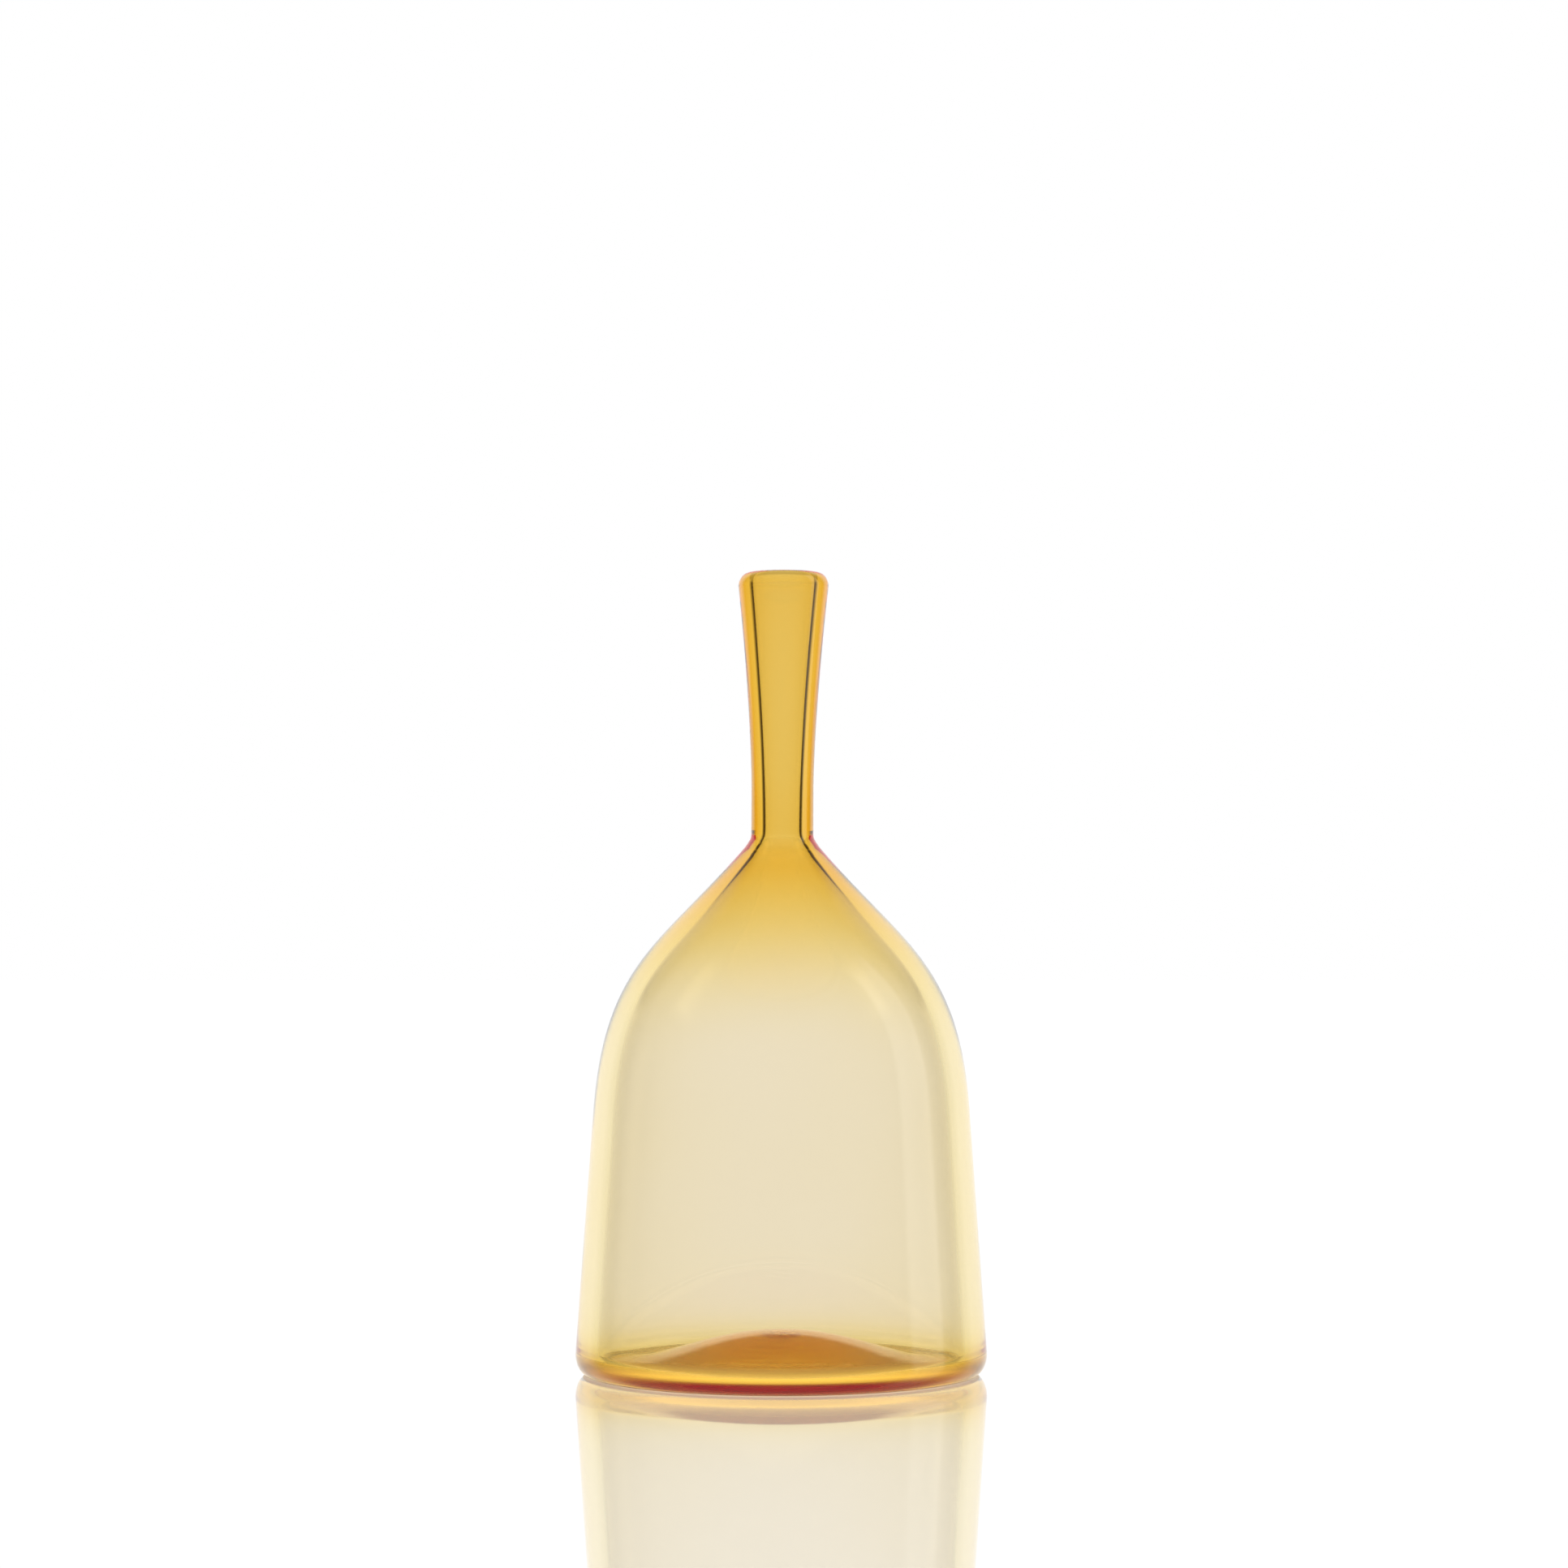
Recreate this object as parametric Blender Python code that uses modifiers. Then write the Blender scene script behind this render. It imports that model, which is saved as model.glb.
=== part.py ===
# Hand-blown glass bud vase: thick flared neck, sharp jack line, wide belly, kicked-up base.
# Metres, +Z up, the foot stands on z = 0 and the axis of the blow is Z.

import bpy
from math import cos, hypot, pi, radians, sin

# overall
HEIGHT = 0.203               # table to the top of the lip
TURN_STEPS = 40              # facets round the axis
SEAT_GAP = 0.0003            # between the vessel and the wad under it

# lip, fire-polished round
LIP_RADIUS = 0.01151         # widest point of the lip
LIP_CREST_RADIUS = 0.00866   # where the lip is highest
LIP_DROP = 0.0035            # crest down to the widest point
MOUTH_RADIUS = 0.00784       # bore just under the lip

# neck, drawn out of the shoulder
NECK_RADIUS = 0.00791        # narrowest outside
NECK_WAIST_Z = 0.1485        # height of the narrowest outside
NECK_FLARE = 1.55            # how late the outside opens, 1 is a straight cone
BORE_RADIUS = 0.00433        # narrowest bore
BORE_WAIST_Z = 0.1380        # height of the narrowest bore
BORE_FLARE = 1.62
CREASE_Z = 0.1352            # jack line between the neck and the shoulder
CREASE_SOFT = 0.0012         # how far the jack line's round starts above it

# shoulder and belly
SHOULDER_RADIUS = 0.00955    # start of the shoulder, just under the jack line
SHOULDER_Z = 0.1330
SHOULDER_SLOPE = 0.86        # radius gained for each unit down, at the start
SHOULDER_HANDLES = (0.033, 0.038)
BELLY_RADIUS = 0.04775       # where the shoulder has turned into the wall
BELLY_Z = 0.0660
FOOT_RADIUS = 0.05205        # widest point of the whole vase
FOOT_Z = 0.0052              # height of the widest point
FOOT_TURN = 0.0032           # how far the foot's edge turns in

# inside of the heavy wall, from under the throat down to the floor
INNER_TOP_RADIUS = 0.0068
INNER_TOP_Z = 0.1304
INNER_SLOPE = 0.80           # radius gained for each unit down, at the start
INNER_HANDLES = (0.0310, 0.0380)
INNER_BELLY_RADIUS = 0.0423  # at the height of BELLY_Z
INNER_TAPER = 0.07

# base
FLOOR_RADIUS = 0.0432        # inner floor, where the corner starts to rise
FLOOR_WALL = 0.0030          # glass between the floor and the table
CORNER_HEIGHT = 0.0036       # inner corner, floor to straight wall
KICK_TOP = 0.0107            # top of the dome inside
KICK_POWER = 2.1
KICK_HEAVY = 0.0022          # extra glass in the middle of the base
RING_INNER = 0.0455          # inner edge of the flat ring that stands on the table

# wad left by the iron under the kick
WAD_RADIUS = 0.0046
WAD_THICK = 0.0017
WAD_BREAK_TILT = 9           # degrees, slope of the broken face

for old in list(bpy.data.objects):
    bpy.data.objects.remove(old, do_unlink=True)


def collectionNamed(name):
    group = bpy.data.collections.new(name)
    bpy.context.scene.collection.children.link(group)
    return group


def glass(name, colour, roughness):
    material = bpy.data.materials.new(name)
    material.use_nodes = True
    shader = material.node_tree.nodes["Principled BSDF"]
    shader.inputs["Base Color"].default_value = (*colour, 1)
    shader.inputs["Roughness"].default_value = roughness
    shader.inputs["Metallic"].default_value = 0
    shader.inputs["IOR"].default_value = 1.5
    shader.inputs["Transmission Weight"].default_value = 1
    return material


def arc(centre, radii, start, end, count):
    turns = [radians(start + (end - start) * i / count) for i in range(count + 1)]
    return [(centre[0] + radii[0] * cos(a), centre[1] + radii[1] * sin(a)) for a in turns]


def bezier(p0, p1, p2, p3, count):
    points = []
    for i in range(count + 1):
        t = i / count
        weights = ((1 - t) ** 3, 3 * (1 - t) ** 2 * t, 3 * (1 - t) * t * t, t ** 3)
        points.append(tuple(sum(w * p[k] for w, p in zip(weights, (p0, p1, p2, p3))) for k in (0, 1)))
    return points


def run(shape, start, end, count):
    heights = [start + (end - start) * i / count for i in range(count + 1)]
    return [(shape(z), z) for z in heights]


def neckOutside(z):
    share = max(0.0, z - NECK_WAIST_Z) / (HEIGHT - LIP_DROP - NECK_WAIST_Z)
    return NECK_RADIUS + (LIP_RADIUS - NECK_RADIUS) * share ** NECK_FLARE


def neckBore(z):
    share = max(0.0, z - BORE_WAIST_Z) / (HEIGHT - LIP_DROP - BORE_WAIST_Z)
    return BORE_RADIUS + (MOUTH_RADIUS - BORE_RADIUS) * share ** BORE_FLARE


def floorTop(r):
    bell = (1 - min(r / FLOOR_RADIUS, 1) ** KICK_POWER) ** 2
    return FLOOR_WALL + (KICK_TOP - FLOOR_WALL) * bell


def floorUnder(r):
    share = min(r / RING_INNER, 1)
    return floorTop(share * FLOOR_RADIUS) - FLOOR_WALL - KICK_HEAVY * (1 - share ** 2) ** 2


def turned(name, profile, group, material, steps):
    mesh = bpy.data.meshes.new(name)
    mesh.from_pydata([(r, 0, z) for r, z in profile], [(i, i + 1) for i in range(len(profile) - 1)], [])
    piece = bpy.data.objects.new(name, mesh)
    piece.data.materials.append(material)
    group.objects.link(piece)
    screw = piece.modifiers.new("turn", "SCREW")
    screw.axis = "Z"
    screw.angle = 2 * pi
    screw.steps = steps
    screw.render_steps = steps
    screw.use_merge_vertices = True
    screw.merge_threshold = 0.00005
    screw.use_smooth_shade = True
    return piece


# outside of the shoulder and the tapering belly, from the jack line down to the foot
taper = (FOOT_RADIUS - BELLY_RADIUS) / (BELLY_Z - FOOT_Z)
steep = hypot(SHOULDER_SLOPE, 1)
flat = hypot(taper, 1)
upperHandle, lowerHandle = SHOULDER_HANDLES
shoulder = bezier(
    (SHOULDER_RADIUS, SHOULDER_Z),
    (SHOULDER_RADIUS + upperHandle * SHOULDER_SLOPE / steep, SHOULDER_Z - upperHandle / steep),
    (BELLY_RADIUS - lowerHandle * taper / flat, BELLY_Z + lowerHandle / flat),
    (BELLY_RADIUS, BELLY_Z),
    13,
)
belly = run(lambda z: FOOT_RADIUS - taper * (z - FOOT_Z), BELLY_Z, FOOT_Z, 4)
outsideWall = shoulder + belly[1:]
foot = arc((FOOT_RADIUS - FOOT_TURN, FOOT_Z), (FOOT_TURN, FOOT_Z), 0, -90, 5)
lipOutside = arc((LIP_CREST_RADIUS, HEIGHT - LIP_DROP), (LIP_RADIUS - LIP_CREST_RADIUS, LIP_DROP), 90, 0, 5)
neckWall = run(neckOutside, HEIGHT - LIP_DROP, NECK_WAIST_Z, 8) + [(NECK_RADIUS, CREASE_Z + CREASE_SOFT)]
crease = (NECK_RADIUS + 0.0001, CREASE_Z)
jackLine = bezier(neckWall[-1], crease, crease, outsideWall[0], 4)

# inside, from the dome out to the corner, up the wall, through the throat and the bore
floorInside = [(r, floorTop(r)) for r in (FLOOR_RADIUS * i / 10 for i in range(11))]
floorOutside = [(r, floorUnder(r)) for r in (RING_INNER * i / 10 for i in range(10, -1, -1))]
cornerTop = FLOOR_WALL + CORNER_HEIGHT
innerSteep = hypot(INNER_SLOPE, 1)
innerUpper, innerLower = INNER_HANDLES
innerShoulder = bezier(
    (INNER_BELLY_RADIUS, BELLY_Z),
    (INNER_BELLY_RADIUS - innerLower * INNER_TAPER, BELLY_Z + innerLower),
    (INNER_TOP_RADIUS + innerUpper * INNER_SLOPE / innerSteep, INNER_TOP_Z - innerUpper / innerSteep),
    (INNER_TOP_RADIUS, INNER_TOP_Z),
    13,
)
innerBelly = run(lambda z: INNER_BELLY_RADIUS + INNER_TAPER * (BELLY_Z - z), cornerTop, BELLY_Z, 4)
insideWall = innerBelly[1:] + innerShoulder[1:]
cornerOut = innerBelly[0][0] - FLOOR_RADIUS
corner = arc((FLOOR_RADIUS, cornerTop), (cornerOut, CORNER_HEIGHT), -90, 0, 5)
throatLow = insideWall[-1]
throat = bezier(
    throatLow,
    (throatLow[0] - 0.0012, throatLow[1] + 0.0022),
    (BORE_RADIUS, BORE_WAIST_Z - 0.0040),
    (BORE_RADIUS, BORE_WAIST_Z),
    4,
)
boreWall = run(neckBore, BORE_WAIST_Z, HEIGHT - LIP_DROP, 8)
lipInside = arc((LIP_CREST_RADIUS, HEIGHT - LIP_DROP), (LIP_CREST_RADIUS - MOUTH_RADIUS, LIP_DROP), 180, 90, 4)

profile = floorInside + corner[1:] + insideWall + throat[1:] + boreWall[1:] + lipInside[1:]
profile += lipOutside[1:] + neckWall[1:] + jackLine[1:] + outsideWall[1:] + foot[1:] + floorOutside

vaseParts = collectionNamed("glass_bud_vase")
cutters = collectionNamed("cutters")
amberGlass = glass("amber_glass", (0.95, 0.78, 0.34), 0.02)
tornGlass = glass("torn_amber_glass", (0.90, 0.70, 0.30), 0.25)

vessel = turned("vessel", profile, vaseParts, amberGlass, TURN_STEPS)

# the wad follows the underside of the kick and is broken off on a slope
wadRings = [WAD_RADIUS * i / 5 for i in range(6)]
wadTop = [(r, floorUnder(r) - SEAT_GAP) for r in wadRings]
rimZ = wadTop[-1][1]
wadSide = arc((0, rimZ), (WAD_RADIUS, WAD_THICK), 0, -90, 6)
wad = turned("pontil_mark", wadTop + wadSide[1:], vaseParts, tornGlass, 20)

bpy.ops.mesh.primitive_cube_add(size=1)
breakCutter = bpy.context.object
breakCutter.name = "break_cutter"
breakCutter.scale = (4 * WAD_RADIUS, 4 * WAD_RADIUS, 2 * WAD_THICK)
breakCutter.rotation_euler = (0, radians(WAD_BREAK_TILT), 0)
breakCutter.location = (0, 0, rimZ - 1.72 * WAD_THICK)
breakCutter.hide_render = True
breakCutter.display_type = "WIRE"
for group in list(breakCutter.users_collection):
    group.objects.unlink(breakCutter)
cutters.objects.link(breakCutter)
snap = wad.modifiers.new("broken face", "BOOLEAN")
snap.operation = "DIFFERENCE"
snap.object = breakCutter
snap.solver = "EXACT"
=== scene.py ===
from math import cos, exp, hypot, pi, radians, sin, tan

import bmesh
import bpy
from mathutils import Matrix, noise


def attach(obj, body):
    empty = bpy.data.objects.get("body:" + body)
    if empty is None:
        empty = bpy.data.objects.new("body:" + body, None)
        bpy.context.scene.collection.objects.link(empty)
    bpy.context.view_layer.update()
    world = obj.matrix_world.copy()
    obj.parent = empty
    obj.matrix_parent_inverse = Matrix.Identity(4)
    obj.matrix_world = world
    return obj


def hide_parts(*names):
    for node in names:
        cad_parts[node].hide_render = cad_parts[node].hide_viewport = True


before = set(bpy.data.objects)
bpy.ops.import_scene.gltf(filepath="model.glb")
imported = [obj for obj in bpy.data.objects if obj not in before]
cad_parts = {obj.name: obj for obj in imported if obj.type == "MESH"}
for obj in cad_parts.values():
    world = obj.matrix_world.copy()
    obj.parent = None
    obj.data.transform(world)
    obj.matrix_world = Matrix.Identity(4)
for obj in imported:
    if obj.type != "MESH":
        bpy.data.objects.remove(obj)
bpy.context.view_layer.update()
scene = bpy.context.scene
scene.view_settings.view_transform = "Standard"
print("frame loaded")

# the same driving sizes as the solids, in metres
vaseSizes = {
    "height": 0.203,
    "lipRadius": 0.01151,
    "lipCrestRadius": 0.00866,
    "lipDrop": 0.0035,
    "mouthRadius": 0.00784,
    "neckRadius": 0.00791,
    "neckWaistZ": 0.1485,
    "neckFlare": 1.55,
    "boreRadius": 0.00433,
    "boreWaistZ": 0.1380,
    "boreFlare": 1.62,
    "throatIn": 0.0012,
    "throatUp": 0.0022,
    "throatDrop": 0.0040,
    "creaseZ": 0.1352,
    "creaseSoft": 0.0012,
    "creaseOut": 0.0001,
    "shoulderRadius": 0.00955,
    "shoulderZ": 0.1330,
    "shoulderSlope": 0.86,
    "upperHandle": 0.033,
    "lowerHandle": 0.038,
    "bellyRadius": 0.04775,
    "bellyZ": 0.0660,
    "footRadius": 0.05205,
    "footZ": 0.0052,
    "footTurn": 0.0032,
    "innerTopRadius": 0.0068,
    "innerTopZ": 0.1304,
    "innerSlope": 0.80,
    "innerUpper": 0.0310,
    "innerLower": 0.0380,
    "innerBellyRadius": 0.0423,
    "innerTaper": 0.07,
    "floorRadius": 0.0432,
    "floorWall": 0.0030,
    "cornerHeight": 0.0036,
    "kickTop": 0.0107,
    "kickPower": 2.1,
    "kickHeavy": 0.0022,
    "ringInner": 0.0455,
}
s = vaseSizes

# steps along each stretch of the half section
sectionSteps = {
    "shoulder": 46,
    "wall": 26,
    "edge": 16,
    "throat": 14,
    "lipInside": 14,
    "crease": 8,
    "waist": 6,
    "floor": 44,
    "floorCrowding": 1.15,       # over 1 sets the floor's rings closer towards the axis
}


def arcPoints(centre, radii, start, end, count):
    turns = [radians(start + (end - start) * i / count) for i in range(count + 1)]
    return [(centre[0] + radii[0] * cos(a), centre[1] + radii[1] * sin(a)) for a in turns]


def bezierPoints(p0, p1, p2, p3, count):
    points = []
    for i in range(count + 1):
        t = i / count
        weights = ((1 - t) ** 3, 3 * (1 - t) ** 2 * t, 3 * (1 - t) * t * t, t ** 3)
        points.append(tuple(sum(w * p[k] for w, p in zip(weights, (p0, p1, p2, p3))) for k in (0, 1)))
    return points


def runPoints(shape, start, end, count):
    heights = [start + (end - start) * i / count for i in range(count + 1)]
    return [(shape(z), z) for z in heights]


def neckOutside(z):
    share = max(0.0, z - s["neckWaistZ"]) / (s["height"] - s["lipDrop"] - s["neckWaistZ"])
    return s["neckRadius"] + (s["lipRadius"] - s["neckRadius"]) * share ** s["neckFlare"]


def neckBore(z):
    share = max(0.0, z - s["boreWaistZ"]) / (s["height"] - s["lipDrop"] - s["boreWaistZ"])
    return s["boreRadius"] + (s["mouthRadius"] - s["boreRadius"]) * share ** s["boreFlare"]


# moves points to the right of their run, which is into the glass all round the section
def intoGlass(points, depths):
    moved = []
    for i, ((r, z), depth) in enumerate(zip(points, depths)):
        before = points[max(i - 1, 0)]
        after = points[min(i + 1, len(points) - 1)]
        along = (after[0] - before[0], after[1] - before[1])
        length = hypot(*along)
        moved.append((max(r + along[1] / length * depth, 0), z - along[0] / length * depth))
    return moved


def floorTop(r):
    bell = (1 - min(r / s["floorRadius"], 1) ** s["kickPower"]) ** 2
    return s["floorWall"] + (s["kickTop"] - s["floorWall"]) * bell


def floorUnder(r):
    share = min(r / s["ringInner"], 1)
    return floorTop(share * s["floorRadius"]) - s["floorWall"] - s["kickHeavy"] * (1 - share ** 2) ** 2


# outside of the shoulder and the tapering belly, from the jack line down to the foot
def outsideWallPoints(steps):
    taper = (s["footRadius"] - s["bellyRadius"]) / (s["bellyZ"] - s["footZ"])
    steep = hypot(s["shoulderSlope"], 1)
    flat = hypot(taper, 1)
    top = (s["shoulderRadius"], s["shoulderZ"])
    bottom = (s["bellyRadius"], s["bellyZ"])
    shoulder = bezierPoints(
        top,
        (top[0] + s["upperHandle"] * s["shoulderSlope"] / steep, top[1] - s["upperHandle"] / steep),
        (bottom[0] - s["lowerHandle"] * taper / flat, bottom[1] + s["lowerHandle"] / flat),
        bottom,
        steps["shoulder"],
    )
    belly = runPoints(lambda z: s["footRadius"] - taper * (z - s["footZ"]), s["bellyZ"], s["footZ"], steps["wall"])
    return shoulder + belly[1:]


# inside of the heavy wall, from the floor's corner up to the throat
def insideWallPoints(steps, cornerTop):
    steep = hypot(s["innerSlope"], 1)
    bottom = (s["innerBellyRadius"], s["bellyZ"])
    top = (s["innerTopRadius"], s["innerTopZ"])
    shoulder = bezierPoints(
        bottom,
        (bottom[0] - s["innerLower"] * s["innerTaper"], bottom[1] + s["innerLower"]),
        (top[0] + s["innerUpper"] * s["innerSlope"] / steep, top[1] - s["innerUpper"] / steep),
        top,
        steps["shoulder"],
    )
    belly = runPoints(lambda z: bottom[0] + s["innerTaper"] * (bottom[1] - z), cornerTop, bottom[1], steps["wall"])
    return belly, belly[1:] + shoulder[1:]


# half section of the glass, from the top of the dome inside, over the lip and down to the kick underneath
def vesselSection():
    steps = sectionSteps
    outsideWall = outsideWallPoints(steps)
    foot = arcPoints((s["footRadius"] - s["footTurn"], s["footZ"]), (s["footTurn"], s["footZ"]), 0, -90, steps["edge"])
    lipBase = s["height"] - s["lipDrop"]
    crest = (s["lipCrestRadius"], lipBase)
    lipOutside = arcPoints(crest, (s["lipRadius"] - s["lipCrestRadius"], s["lipDrop"]), 90, 0, steps["edge"])
    lipInside = arcPoints(crest, (s["lipCrestRadius"] - s["mouthRadius"], s["lipDrop"]), 180, 90, steps["lipInside"])
    neckWall = runPoints(neckOutside, lipBase, s["neckWaistZ"], steps["wall"])
    waistEnd = s["creaseZ"] + s["creaseSoft"]
    neckWall += runPoints(lambda z: s["neckRadius"], s["neckWaistZ"], waistEnd, steps["waist"])[1:]
    crease = (s["neckRadius"] + s["creaseOut"], s["creaseZ"])
    jackLine = bezierPoints(neckWall[-1], crease, crease, outsideWall[0], steps["crease"])[1:-1]
    shares = [(i / steps["floor"]) ** steps["floorCrowding"] for i in range(steps["floor"] + 1)]
    floorInside = [(s["floorRadius"] * q, floorTop(s["floorRadius"] * q)) for q in shares]
    floorOutside = [(s["ringInner"] * q, floorUnder(s["ringInner"] * q)) for q in reversed(shares)]
    cornerTop = s["floorWall"] + s["cornerHeight"]
    innerBelly, insideWall = insideWallPoints(steps, cornerTop)
    cornerOut = innerBelly[0][0] - s["floorRadius"]
    corner = arcPoints((s["floorRadius"], cornerTop), (cornerOut, s["cornerHeight"]), -90, 0, steps["edge"])
    low = insideWall[-1]
    throat = bezierPoints(
        low,
        (low[0] - s["throatIn"], low[1] + s["throatUp"]),
        (s["boreRadius"], s["boreWaistZ"] - s["throatDrop"]),
        (s["boreRadius"], s["boreWaistZ"]),
        steps["throat"],
    )
    boreWall = runPoints(neckBore, s["boreWaistZ"], lipBase, steps["wall"])
    hollow = floorInside + corner[1:] + insideWall + throat[1:]
    bore = boreWall[1:] + lipInside[1:]
    neck = lipOutside[1:] + neckWall[1:]
    return hollow, bore, neck, jackLine + outsideWall + foot[1:] + floorOutside


# depth of the coloured glass from the hollow: the first gather, which thins as the belly is blown out
colourSizes = {
    "skin": 0.00003,
    "bellyDepth": 0.0008,
    "shoulderDepth": 0.0044,
    "fullZ": 0.1280,
    "thinZ": 0.0750,
    "power": 2.5,
    "floorDepth": 0.0048,
    "ringDepth": 0.0036,
    "ringFade": 0.0035,
}


def colourDepth(r, z):
    c = colourSizes
    if z > c["thinZ"]:
        share = min(1.0, (z - c["thinZ"]) / (c["fullZ"] - c["thinZ"]))
        return c["bellyDepth"] + (c["shoulderDepth"] - c["bellyDepth"]) * share ** c["power"]
    if r < s["floorRadius"] and z < 2 * s["kickTop"]:
        return c["ringDepth"] + (c["floorDepth"] - c["ringDepth"]) * (1 - (r / s["floorRadius"]) ** 2)
    return c["bellyDepth"] + (c["ringDepth"] - c["bellyDepth"]) * exp((s["floorWall"] - z) / c["ringFade"])


def colourSection():
    hollow, bore, neck, outside = vesselSection()
    inner = hollow + bore
    skin = colourSizes["skin"]
    section = intoGlass(inner, [skin] * len(inner)) + intoGlass(neck, [skin] * len(neck))
    shell = neck + outside
    depths = []
    for r, z in hollow:
        room = min(hypot(r - a, z - b) for a, b in shell)
        depths.append(min(colourDepth(r, z), room - 2 * skin))
    layer = [p for p in intoGlass(hollow, depths) if p[1] < neck[-1][1] - skin]
    return section + list(reversed(layer))


def link(tree, pairs):
    for start, end in pairs:
        tree.links.new(start, end)


# a number is set on the socket, anything else is linked to it
def feed(tree, socket, value):
    if isinstance(value, (int, float)):
        socket.default_value = value
    else:
        tree.links.new(value, socket)


def mathNode(tree, operation, *values):
    node = tree.nodes.new("ShaderNodeMath")
    node.operation = operation
    for socket, value in zip(node.inputs, values):
        feed(tree, socket, value)
    return node.outputs[0]


def vectorNode(tree, operation, *values):
    node = tree.nodes.new("ShaderNodeVectorMath")
    node.operation = operation
    for socket, value in zip(node.inputs, values):
        feed(tree, socket, value)
    return node.outputs["Value" if operation == "LENGTH" else "Vector"]


# rises from 0 at start to most at end
def rampNode(tree, value, start, end, most=1.0, soft=False):
    node = tree.nodes.new("ShaderNodeMapRange")
    node.interpolation_type = "SMOOTHSTEP" if soft else "LINEAR"
    for name, given in (("Value", value), ("From Min", start), ("From Max", end), ("To Max", most)):
        feed(tree, node.inputs[name], given)
    return node.outputs[0]


def centredNoise(tree, noiseNode, height):
    return mathNode(tree, "MULTIPLY", mathNode(tree, "SUBTRACT", noiseNode.outputs[0], 0.5), height)


# where the unevenness lies on the glass, as the start and end of each ramp
glassZones = {
    "lookingDown": (-0.75, -0.93),   # Z of the normal
    "lookingUp": (0.75, 0.93),
    "upperShare": 0.4,               # ripples on the floor inside, as a share of those underneath
    "baseZ": (0.0125, 0.0115),
    "rippleRadius": (0.045, 0.040),
    "rippleTurns": 1.3,
    "flatFootZ": (0.0, 0.006),       # the foot ring stays flat on the table
    "insideRing": (0.046, 0.042),
    "groundRing": (0.0450, 0.0465),
    "groundChill": 2.0,              # how rough the ground ring is, in chills
    "chillWander": 0.008,
    "chillSoft": 0.002,
    "scarEdgeScale": 420.0,
    "scarLevel": 0.35,
    "scarCore": 0.75,
    "leanPower": 2.0,
    "weld": 0.000002,
}


# a grid with a row for each point of the half section, wrapped round Z and welded
def wrappedSection(tree, given, place):
    new = tree.nodes.new
    count = new("GeometryNodeAttributeDomainSize")
    grid = new("GeometryNodeMeshGrid")
    columns = mathNode(tree, "ADD", given["Turn Steps"], 1)
    index = new("GeometryNodeInputIndex").outputs[0]
    row = mathNode(tree, "FLOOR", mathNode(tree, "DIVIDE", mathNode(tree, "ADD", index, 0.5), columns))
    column = mathNode(tree, "SUBTRACT", index, mathNode(tree, "MULTIPLY", row, columns))
    section = new("GeometryNodeSampleIndex")
    section.data_type = "FLOAT_VECTOR"
    section.domain = "POINT"
    split = new("ShaderNodeSeparateXYZ")
    turn = mathNode(tree, "MULTIPLY", mathNode(tree, "DIVIDE", column, given["Turn Steps"]), 2 * pi)
    ring = new("ShaderNodeCombineXYZ")
    shape = new("GeometryNodeSetPosition")
    weld = new("GeometryNodeMergeByDistance")
    weld.inputs["Distance"].default_value = glassZones["weld"]
    link(tree, [
        (given["Geometry"], count.inputs["Geometry"]),
        (count.outputs["Point Count"], grid.inputs["Vertices X"]),
        (columns, grid.inputs["Vertices Y"]),
        (given["Geometry"], section.inputs["Geometry"]),
        (place, section.inputs["Value"]),
        (row, section.inputs["Index"]),
        (section.outputs["Value"], split.inputs[0]),
        (mathNode(tree, "MULTIPLY", split.outputs["X"], mathNode(tree, "COSINE", turn)), ring.inputs["X"]),
        (mathNode(tree, "MULTIPLY", split.outputs["X"], mathNode(tree, "SINE", turn)), ring.inputs["Y"]),
        (split.outputs["Z"], ring.inputs["Z"]),
        (grid.outputs["Mesh"], shape.inputs["Geometry"]),
        (ring.outputs[0], shape.inputs["Position"]),
        (shape.outputs[0], weld.inputs["Geometry"]),
    ])
    return weld.outputs[0]


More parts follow.
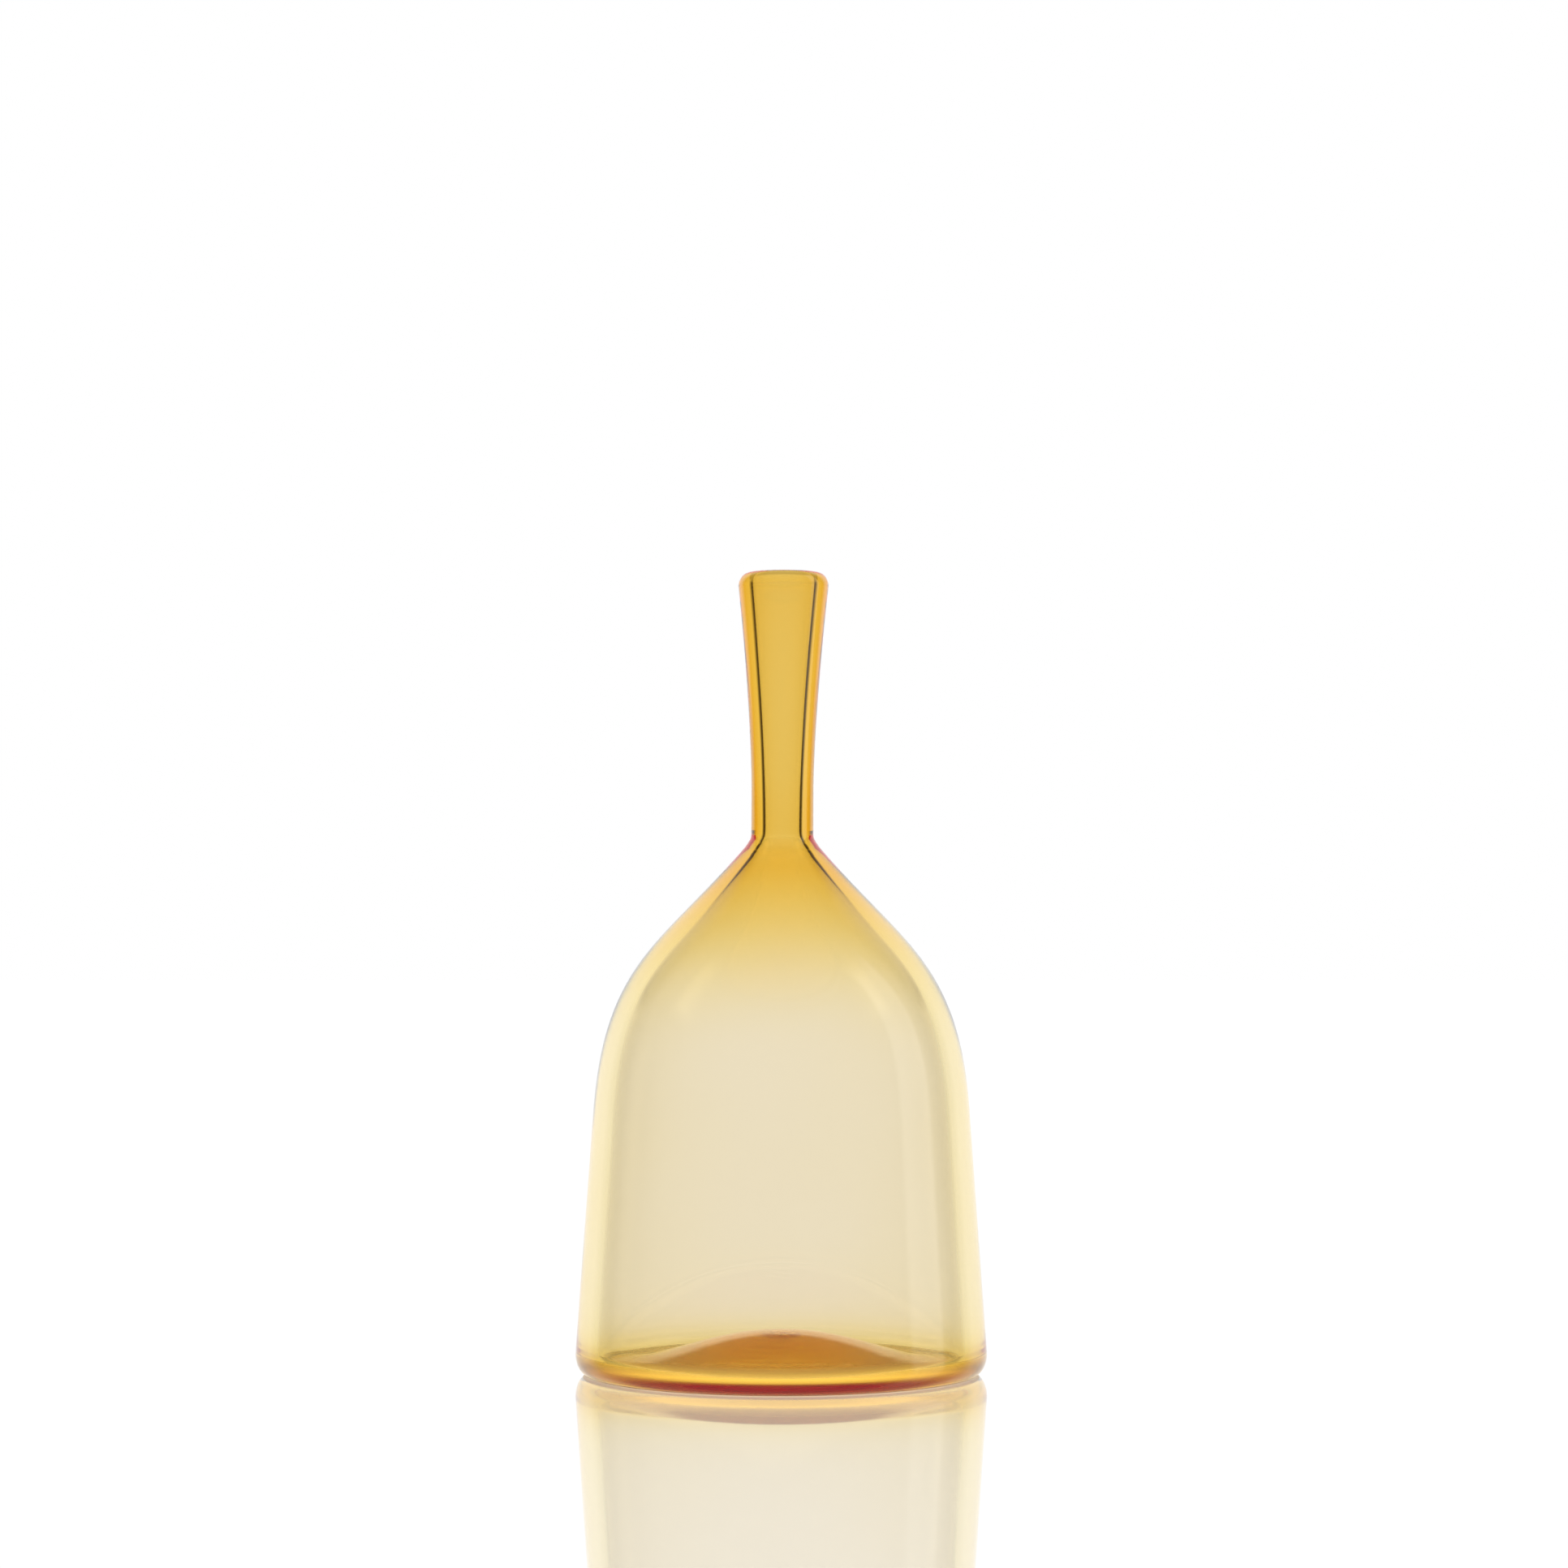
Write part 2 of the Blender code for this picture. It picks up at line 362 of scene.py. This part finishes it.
# turns a half section round Z, and gives the glass its hand-made unevenness
def turnedGlassTree(zones):
    tree = bpy.data.node_groups.new("turnedGlass", "GeometryNodeTree")
    face = tree.interface
    face.new_socket("Geometry", in_out="OUTPUT", socket_type="NodeSocketGeometry")
    face.new_socket("Geometry", in_out="INPUT", socket_type="NodeSocketGeometry")
    face.new_socket("Turn Steps", in_out="INPUT", socket_type="NodeSocketInt")
    for name in ("Height", "Lean", "Wave Height", "Wave Scale", "Ripple Height", "Ripple Pitch",
                 "Scar Radius", "Scar Height", "Scar Grain", "Chill Radius", "Seed"):
        face.new_socket(name, in_out="INPUT", socket_type="NodeSocketFloat")
    face.new_socket("Glass", in_out="INPUT", socket_type="NodeSocketMaterial")
    new = tree.nodes.new
    given = new("NodeGroupInput").outputs
    out = new("NodeGroupOutput")
    place = new("GeometryNodeInputPosition").outputs[0]
    wrapped = wrappedSection(tree, given, place)
    # slow waves in the wall
    normal = new("GeometryNodeInputNormal").outputs[0]
    wave = new("ShaderNodeTexNoise")
    wave.noise_dimensions = "4D"
    wave.inputs["Detail"].default_value = 1.5
    link(tree, [
        (place, wave.inputs["Vector"]),
        (given["Wave Scale"], wave.inputs["Scale"]),
        (given["Seed"], wave.inputs["W"]),
    ])
    waveHeight = centredNoise(tree, wave, given["Wave Height"])
    # rings left in the base by the block and the iron
    here = new("ShaderNodeSeparateXYZ")
    flatPlace = new("ShaderNodeCombineXYZ")
    facing = new("ShaderNodeSeparateXYZ")
    link(tree, [
        (place, here.inputs[0]),
        (here.outputs["X"], flatPlace.inputs["X"]),
        (here.outputs["Y"], flatPlace.inputs["Y"]),
        (normal, facing.inputs[0]),
    ])
    radius = vectorNode(tree, "LENGTH", flatPlace.outputs[0])
    low = rampNode(tree, here.outputs["Z"], *zones["baseZ"])
    base = mathNode(tree, "MULTIPLY", rampNode(tree, facing.outputs["Z"], *zones["lookingDown"]), low)
    over = rampNode(tree, facing.outputs["Z"], *zones["lookingUp"], most=zones["upperShare"])
    floorMask = mathNode(tree, "ADD", base, mathNode(tree, "MULTIPLY", over, low))
    ringNoise = new("ShaderNodeTexNoise")
    ringNoise.noise_dimensions = "4D"
    ringNoise.inputs["Scale"].default_value = 1.0
    ringNoise.inputs["Detail"].default_value = 2.0
    swirl = new("ShaderNodeCombineXYZ")
    around = mathNode(tree, "ARCTAN2", here.outputs["Y"], here.outputs["X"])
    turns = zones["rippleTurns"]
    link(tree, [
        (mathNode(tree, "DIVIDE", radius, given["Ripple Pitch"]), swirl.inputs["X"]),
        (mathNode(tree, "MULTIPLY", mathNode(tree, "COSINE", around), turns), swirl.inputs["Y"]),
        (mathNode(tree, "MULTIPLY", mathNode(tree, "SINE", around), turns), swirl.inputs["Z"]),
        (swirl.outputs[0], ringNoise.inputs["Vector"]),
        (given["Seed"], ringNoise.inputs["W"]),
    ])
    ripple = mathNode(tree, "MULTIPLY", centredNoise(tree, ringNoise, given["Ripple Height"]), floorMask)
    ripple = mathNode(tree, "MULTIPLY", ripple, rampNode(tree, radius, *zones["rippleRadius"]))
    # torn glass where the iron came away
    scarNoise = new("ShaderNodeTexVoronoi")
    scarNoise.voronoi_dimensions = "3D"
    scarEdge = new("ShaderNodeTexNoise")
    scarEdge.inputs["Scale"].default_value = zones["scarEdgeScale"]
    link(tree, [
        (place, scarNoise.inputs["Vector"]),
        (given["Scar Grain"], scarNoise.inputs["Scale"]),
        (place, scarEdge.inputs["Vector"]),
    ])
    reach = mathNode(tree, "MULTIPLY", given["Scar Radius"], mathNode(tree, "ADD", scarEdge.outputs[0], 0.5))
    scarMask = rampNode(tree, radius, reach, mathNode(tree, "MULTIPLY", reach, zones["scarCore"]), soft=True)
    scar = mathNode(tree, "SUBTRACT", scarNoise.outputs["Distance"], zones["scarLevel"])
    scar = mathNode(tree, "MULTIPLY", scar, given["Scar Height"])
    scar = mathNode(tree, "MULTIPLY", mathNode(tree, "MULTIPLY", scar, scarMask), base)
    total = mathNode(tree, "ADD", mathNode(tree, "ADD", waveHeight, ripple), scar)
    aboveFoot = rampNode(tree, here.outputs["Z"], *zones["flatFootZ"])
    free = mathNode(tree, "MAXIMUM", aboveFoot, rampNode(tree, radius, *zones["insideRing"]))
    push = new("ShaderNodeVectorMath")
    push.operation = "SCALE"
    share = mathNode(tree, "DIVIDE", here.outputs["Z"], given["Height"])
    lean = mathNode(tree, "MULTIPLY", mathNode(tree, "POWER", share, zones["leanPower"]), given["Lean"])
    side = new("ShaderNodeCombineXYZ")
    link(tree, [
        (normal, push.inputs[0]),
        (mathNode(tree, "MULTIPLY", total, free), push.inputs["Scale"]),
        (lean, side.inputs["X"]),
    ])
    # underside dulled by the block, and the foot ring ground flat
    edge = mathNode(tree, "ADD", radius, centredNoise(tree, ringNoise, zones["chillWander"]))
    outer = mathNode(tree, "ADD", given["Chill Radius"], zones["chillSoft"])
    inner = mathNode(tree, "SUBTRACT", given["Chill Radius"], zones["chillSoft"])
    chilled = rampNode(tree, edge, outer, inner, soft=True)
    ground = rampNode(tree, radius, *zones["groundRing"], most=zones["groundChill"])
    keep = new("GeometryNodeStoreNamedAttribute")
    keep.data_type = "FLOAT"
    keep.domain = "POINT"
    keep.inputs["Name"].default_value = "chilled"
    uneven = new("GeometryNodeSetPosition")
    smooth = new("GeometryNodeSetShadeSmooth")
    realize = new("GeometryNodeRealizeInstances")
    dress = new("GeometryNodeSetMaterial")
    link(tree, [
        (wrapped, keep.inputs["Geometry"]),
        (mathNode(tree, "MULTIPLY", mathNode(tree, "MAXIMUM", chilled, ground), base), keep.inputs["Value"]),
        (keep.outputs[0], uneven.inputs["Geometry"]),
        (vectorNode(tree, "ADD", push.outputs["Vector"], side.outputs[0]), uneven.inputs["Offset"]),
        (uneven.outputs[0], smooth.inputs["Geometry"]),
        (smooth.outputs[0], realize.inputs["Geometry"]),
        (realize.outputs[0], dress.inputs["Geometry"]),
        (given["Glass"], dress.inputs["Material"]),
        (dress.outputs[0], out.inputs["Geometry"]),
    ])
    return tree


def turnedPiece(name, section, tree, values):
    mesh = bpy.data.meshes.new(name + "Section")
    mesh.from_pydata([(r, 0, z) for r, z in section], [(i, i + 1) for i in range(len(section) - 1)], [])
    rough = bpy.data.objects.new(name + "Rough", mesh)
    scene.collection.objects.link(rough)
    modifier = rough.modifiers.new("turn", "NODES")
    modifier.node_group = tree
    for item in tree.interface.items_tree:
        if item.in_out == "INPUT" and item.name in values:
            modifier[item.identifier] = values[item.name]
    bpy.context.view_layer.update()
    graph = bpy.context.evaluated_depsgraph_get()
    made = bpy.data.meshes.new_from_object(rough.evaluated_get(graph), depsgraph=graph)
    made.name = name
    bpy.data.objects.remove(rough)
    work = bmesh.new()
    work.from_mesh(made)
    if work.calc_volume(signed=True) < 0:
        bmesh.ops.reverse_faces(work, faces=work.faces[:])
    work.to_mesh(made)
    work.free()
    piece = bpy.data.objects.new(name, made)
    scene.collection.objects.link(piece)
    return piece


# fine cords and a trace of handling on blown glass
def blownSurfaceGroup():
    group = bpy.data.node_groups.new("blownSurface", "ShaderNodeTree")
    face = group.interface
    for name in ("Cord Scale", "Cord Stretch", "Haze", "Chill"):
        face.new_socket(name, in_out="INPUT", socket_type="NodeSocketFloat")
    face.new_socket("Height", in_out="OUTPUT", socket_type="NodeSocketFloat")
    face.new_socket("Roughness", in_out="OUTPUT", socket_type="NodeSocketFloat")
    new = group.nodes.new
    given = new("NodeGroupInput").outputs
    out = new("NodeGroupOutput")
    where = new("ShaderNodeTexCoord").outputs["Object"]
    squash = new("ShaderNodeCombineXYZ")
    squash.inputs["X"].default_value = 1
    squash.inputs["Y"].default_value = 1
    cords = new("ShaderNodeTexNoise")
    cords.inputs["Detail"].default_value = 2.0
    smear = new("ShaderNodeTexNoise")
    smear.inputs["Scale"].default_value = 38
    smear.inputs["Detail"].default_value = 3
    link(group, [
        (given["Cord Stretch"], squash.inputs["Z"]),
        (vectorNode(group, "MULTIPLY", where, squash.outputs[0]), cords.inputs["Vector"]),
        (given["Cord Scale"], cords.inputs["Scale"]),
        (cords.outputs[0], out.inputs["Height"]),
        (where, smear.inputs["Vector"]),
    ])
    haze = rampNode(group, smear.outputs[0], 0.55, 0.80, most=given["Haze"])
    chilled = new("ShaderNodeAttribute")
    chilled.attribute_name = "chilled"
    dull = mathNode(group, "MULTIPLY", chilled.outputs["Fac"], given["Chill"])
    group.links.new(mathNode(group, "ADD", haze, dull), out.inputs["Roughness"])
    return group


glassLook = {
    "ior": 1.5,
    "absorbColour": (0.975, 0.806, 0.029),   # what the amber lets through
    "absorbDensity": 340.0,                  # for each metre of glass
    "skinColour": (0.966, 0.948, 0.988),     # a trace lost at each face
    "cordScale": 60.0,
    "cordStretch": 0.35,
    "cordDepth": 0.00002,
    "haze": 0.02,
    "chill": 0.4,                # roughness of the underside where it touched the block
}


def plainGlass(name, colour, ior):
    material = bpy.data.materials.new(name)
    material.use_nodes = True
    shader = material.node_tree.nodes["Principled BSDF"]
    shader.inputs["Base Color"].default_value = (*colour, 1)
    shader.inputs["Metallic"].default_value = 0
    shader.inputs["IOR"].default_value = ior
    shader.inputs["Transmission Weight"].default_value = 1
    return material, shader


# the colour alone: the clear glass round it does all the bending
def colourMaterial(name, look):
    material, shader = plainGlass(name, (1, 1, 1), 1.0)
    shader.inputs["Roughness"].default_value = 0
    tree = material.node_tree
    amber = tree.nodes.new("ShaderNodeVolumeAbsorption")
    amber.inputs["Color"].default_value = (*look["absorbColour"], 1)
    amber.inputs["Density"].default_value = look["absorbDensity"]
    tree.links.new(amber.outputs[0], tree.nodes["Material Output"].inputs["Volume"])
    return material


def amberGlassMaterial(name, look, surface):
    material, shader = plainGlass(name, look["skinColour"], look["ior"])
    tree = material.node_tree
    skin = tree.nodes.new("ShaderNodeGroup")
    skin.node_tree = surface
    skin.inputs["Cord Scale"].default_value = look["cordScale"]
    skin.inputs["Cord Stretch"].default_value = look["cordStretch"]
    skin.inputs["Haze"].default_value = look["haze"]
    skin.inputs["Chill"].default_value = look["chill"]
    bump = tree.nodes.new("ShaderNodeBump")
    bump.inputs["Strength"].default_value = 1
    bump.inputs["Distance"].default_value = look["cordDepth"]
    link(tree, [
        (skin.outputs["Height"], bump.inputs["Height"]),
        (bump.outputs[0], shader.inputs["Normal"]),
        (skin.outputs["Roughness"], shader.inputs["Roughness"]),
    ])
    return material


surface = blownSurfaceGroup()
amberGlass = amberGlassMaterial("amberGlass", glassLook, surface)

vesselShape = {
    "Turn Steps": 224,
    "Height": s["height"],
    "Lean": 0.0006,
    "Wave Height": 0.00010,
    "Wave Scale": 28.0,
    "Ripple Height": 0.00016,
    "Ripple Pitch": 0.0016,
    "Scar Radius": 0.0042,
    "Scar Height": 0.0003,
    "Scar Grain": 420.0,
    "Chill Radius": 0.0480,
    "Seed": 4.0,
    "Glass": amberGlass,
}
glassTree = turnedGlassTree(glassZones)
vessel = turnedPiece("amberVessel", sum(vesselSection(), []), glassTree, vesselShape)
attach(vessel, "root")
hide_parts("vessel")

colourShape = {
    **vesselShape,
    "Ripple Height": 0.0,
    "Scar Height": 0.0,
    "Glass": colourMaterial("amberColour", glassLook),
}
colour = turnedPiece("amberGather", colourSection(), glassTree, colourShape)
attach(colour, "root")
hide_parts("vessel")

# the wad that the iron tore off with, seated a hair under the kick
wadSizes = {
    "radius": 0.0046,
    "thick": 0.0017,
    "gap": 0.0003,
    "tilt": 9,                   # degrees, slope of the broken face
    "breakShare": 0.72,          # of the thickness that is left at the axis
    "grain": 900.0,
    "tear": 0.00035,
    "tearRow": 0.3,
}
wadLook = {**glassLook, "haze": 0.25, "cordScale": 700.0, "cordDepth": 0.0001}


def wadSection(w):
    rings = [w["radius"] * (i / 16) for i in range(17)]
    top = [(r, floorUnder(r) - w["gap"]) for r in rings]
    return top + arcPoints((0, top[-1][1]), (w["radius"], w["thick"]), 0, -90, 24)[1:]


def tearFace(piece, w):
    rim = floorUnder(w["radius"]) - w["gap"]
    for point in piece.data.vertices:
        x, y, z = point.co
        flat = rim - w["breakShare"] * w["thick"] - tan(radians(w["tilt"])) * x
        torn = flat + w["tear"] * abs(noise.noise((x * w["grain"], y * w["grain"], w["tearRow"])))
        point.co.z = max(z, min(torn, rim))


wadShape = {
    **vesselShape,
    "Turn Steps": 96,
    "Lean": 0.0,
    "Wave Height": 0.0,
    "Ripple Height": 0.0,
    "Scar Height": 0.0,
    "Glass": amberGlassMaterial("tornAmber", wadLook, surface),
}
pontil = turnedPiece("pontilMark", wadSection(wadSizes), glassTree, wadShape)
tearFace(pontil, wadSizes)
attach(pontil, "root")
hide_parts("pontil_mark")
print("vessel turned", len(vessel.data.vertices), "points", len(vessel.data.loop_triangles), "triangles")

plateLook = {
    "size": 12.0,
    "drop": 0.0002,              # a hair of air under the foot
    "colour": (0.14, 0.14, 0.14),
    "roughness": 0.03,
    "ior": 1.5,
    "mirror": 0.25,              # mirror share on top of what the angle gives
    "glow": 1.4,
    "glowSpan": 0.5,             # distance from the axis at the end of the colour ramp
    # near the axis the ramp paints light onto the plate: a cream pool inside the foot and a brighter ring under the
    # foot ring stand for light come down through the amber base; further out the plate glows evenly
    "glowStops": [               # colour of the glow at each distance from the axis
        (0.0340, (0.80, 0.74, 0.56)),
        (0.0430, (0.80, 0.74, 0.56)),
        (0.0455, (1.12, 1.04, 0.82)),
        (0.0490, (1.12, 1.04, 0.82)),
        (0.0518, (0.61, 0.60, 0.58)),
        (0.0750, (0.59, 0.59, 0.59)),
        (0.4500, (0.59, 0.59, 0.59)),
    ],
    "kickGlow": (1.70, 1.28, 0.16),   # stands for the light that the glass gathers under the kick
    "kickGlowRadius": (0.0340, 0.008),
}


# the plate's even glow, with painted light under the glass: the cream pool and brighter ring from the ramp, and a
# painted orange patch under the kick
def plateGlow(tree, look):
    make = tree.nodes.new
    radius = vectorNode(tree, "LENGTH", make("ShaderNodeTexCoord").outputs["Object"])
    warm = make("ShaderNodeValToRGB")
    ramp = warm.color_ramp
    stops = look["glowStops"]
    for element, (distance, colour) in zip(ramp.elements, (stops[0], stops[-1])):
        element.position, element.color = distance / look["glowSpan"], (*colour, 1)
    for distance, colour in stops[1:-1]:
        ramp.elements.new(distance / look["glowSpan"]).color = (*colour, 1)
    # seen only straight through the glass, not mirrored about in the hollow
    straight = mathNode(tree, "LESS_THAN", make("ShaderNodeLightPath").outputs["Glossy Depth"], 0.5)
    kick = rampNode(tree, radius, *look["kickGlowRadius"], soft=True)
    mix = make("ShaderNodeMix")
    mix.data_type = "RGBA"
    mix.inputs["B"].default_value = (*look["kickGlow"], 1)
    glow = make("ShaderNodeEmission")
    glow.inputs["Strength"].default_value = look["glow"]
    link(tree, [
        (mathNode(tree, "DIVIDE", radius, look["glowSpan"]), warm.inputs[0]),
        (mathNode(tree, "MULTIPLY", straight, kick), mix.inputs["Factor"]),
        (warm.outputs[0], mix.inputs["A"]),
        (mix.outputs["Result"], glow.inputs["Color"]),
    ])
    return glow.outputs[0]


def whitePlateMaterial(look):
    material = bpy.data.materials.new("whitePlate")
    material.use_nodes = True
    tree = material.node_tree
    tree.nodes.remove(tree.nodes["Principled BSDF"])
    make = tree.nodes.new
    lit = make("ShaderNodeBsdfDiffuse")
    lit.inputs["Color"].default_value = (*look["colour"], 1)
    gloss = make("ShaderNodeBsdfGlossy")
    gloss.inputs["Color"].default_value = (1, 1, 1, 1)
    gloss.inputs["Roughness"].default_value = look["roughness"]
    edge = make("ShaderNodeFresnel")
    edge.inputs["IOR"].default_value = look["ior"]
    plate = make("ShaderNodeAddShader")
    coat = make("ShaderNodeMixShader")
    link(tree, [
        (lit.outputs[0], plate.inputs[0]),
        (plateGlow(tree, look), plate.inputs[1]),
        (mathNode(tree, "ADD", edge.outputs[0], look["mirror"]), coat.inputs[0]),
        (plate.outputs[0], coat.inputs[1]),
        (gloss.outputs[0], coat.inputs[2]),
        (coat.outputs[0], tree.nodes["Material Output"].inputs["Surface"]),
    ])
    return material


def studioFloor(look):
    half = look["size"] / 2
    z = -look["drop"]
    mesh = bpy.data.meshes.new("studioFloor")
    mesh.from_pydata([(-half, -half, z), (half, -half, z), (half, half, z), (-half, half, z)], [], [(0, 1, 2, 3)])
    mesh.materials.append(whitePlateMaterial(look))
    floor = bpy.data.objects.new("studioFloor", mesh)
    scene.collection.objects.link(floor)


# angles are degrees from +Y, the photograph's line of sight; heights are the sine of the angle up
surroundLook = {
    "roomLevel": 0.06,
    "skinGlow": 0.05,
    "whiteEnd": (42, 62),        # the white surround gives way to the dark room
    "backFrom": (95, 110),
    "sideHeight": (0.51, 0.39),
    "ceiling": (0.70, 0.85),
    "aheadWithin": (40, 25),
    "aheadAbove": (0.24, 0.36),
    "aheadBelow": (0.75, 0.60),
    "aheadShare": 0.8,
    "streakFrom": (44, 50),
    "streakTo": (92, 84),
    "streakAbove": (0.15, 0.30),
    "windowFrom": (75, 80),
    "windowTo": (105, 100),
    "windowSide": (-0.1, 0.1),
    "deepFrom": 6.5,             # faces gone through
    "shallowTo": 10.5,
    "fewTo": 2.5,                # times mirrored
}


# white all round; what glass throws sideways or back towards the lens finds the dark room instead
def studioWorld(look):
    world = bpy.data.worlds.new("studioWorld")
    scene.world = world
    world.use_nodes = True
    tree = world.node_tree
    new = tree.nodes.new
    rays = new("ShaderNodeLightPath").outputs
    direction = new("ShaderNodeSeparateXYZ")
    tree.links.new(new("ShaderNodeTexCoord").outputs["Generated"], direction.inputs[0])

    def height(value, name):
        return rampNode(tree, value, *look[name], soft=True)

    def angle(value, name):
        return rampNode(tree, value, *map(radians, look[name]), soft=True)

    def both(*masks):
        total = masks[0]
        for mask in masks[1:]:
            total = mathNode(tree, "MULTIPLY", total, mask)
        return total

    def either(first, second):
        return mathNode(tree, "MAXIMUM", first, second)

    def without(mask):
        return mathNode(tree, "SUBTRACT", 1, mask)

    def over(name, count):
        return mathNode(tree, "GREATER_THAN", rays[name], count)

    up = direction.outputs["Z"]
    turn = mathNode(tree, "ARCTAN2", mathNode(tree, "ABSOLUTE", direction.outputs["X"]), direction.outputs["Y"])
    off = mathNode(tree, "ARCCOSINE", direction.outputs["Y"])
    through = over("Transmission Depth", 0.5)
    deep = over("Transmission Depth", look["deepFrom"])
    shallow = without(over("Transmission Depth", look["shallowTo"]))
    bounced = over("Glossy Depth", 0.5)
    few = without(over("Glossy Depth", look["fewTo"]))
    plain = without(over("Diffuse Depth", 0.5))
    beyond = angle(turn, "whiteEnd")
    ceiling = height(up, "ceiling")
    # thrown about inside the glass: sideways, back towards the lens, or up off the kick
    level = height(mathNode(tree, "ABSOLUTE", up), "sideHeight")
    streak = both(without(deep), angle(off, "streakFrom"), angle(off, "streakTo"), height(up, "streakAbove"))
    aside = either(both(beyond, either(level, angle(turn, "backFrom"))), streak)
    ahead = both(deep, height(up, "aheadAbove"), height(up, "aheadBelow"), angle(turn, "aheadWithin"), look["aheadShare"])
    inside = both(through, bounced, few, shallow, either(aside, either(ahead, ceiling)))
    # mirrored by the outer skin or the plate
    window = both(angle(turn, "windowFrom"), angle(turn, "windowTo"), height(direction.outputs["X"], "windowSide"))
    mirrored = both(without(through), bounced)
    skin = both(mirrored, either(both(beyond, without(window)), ceiling))
    dark = both(mathNode(tree, "ADD", inside, skin), plain, 1 - look["roomLevel"])
    glow = both(mirrored, without(beyond), look["skinGlow"])
    background = tree.nodes["Background"]
    background.inputs["Color"].default_value = (1, 1, 1, 1)
    tree.links.new(mathNode(tree, "ADD", without(dark), glow), background.inputs["Strength"])


studioFloor(plateLook)
studioWorld(surroundLook)
scene.cycles.max_bounces = 64
scene.cycles.transmission_bounces = 64
scene.cycles.glossy_bounces = 64
print("studio set")

cameraPlace = {
    "distance": 1.0088,
    "height": 0.1159,
    "aside": 0.0007,
    "pitch": 1.886,              # degrees up from level
    "lens": 91.1,
    "sensor": 36,
    "clipStart": 0.01,
}
lens = bpy.data.cameras.new("photoCamera")
lens.sensor_width = cameraPlace["sensor"]
lens.lens = cameraPlace["lens"]
lens.clip_start = cameraPlace["clipStart"]
camera = bpy.data.objects.new("photoCamera", lens)
camera.location = (cameraPlace["aside"], -cameraPlace["distance"], cameraPlace["height"])
camera.rotation_euler = (radians(90 + cameraPlace["pitch"]), 0, 0)
scene.collection.objects.link(camera)
scene.camera = camera
print("camera placed")
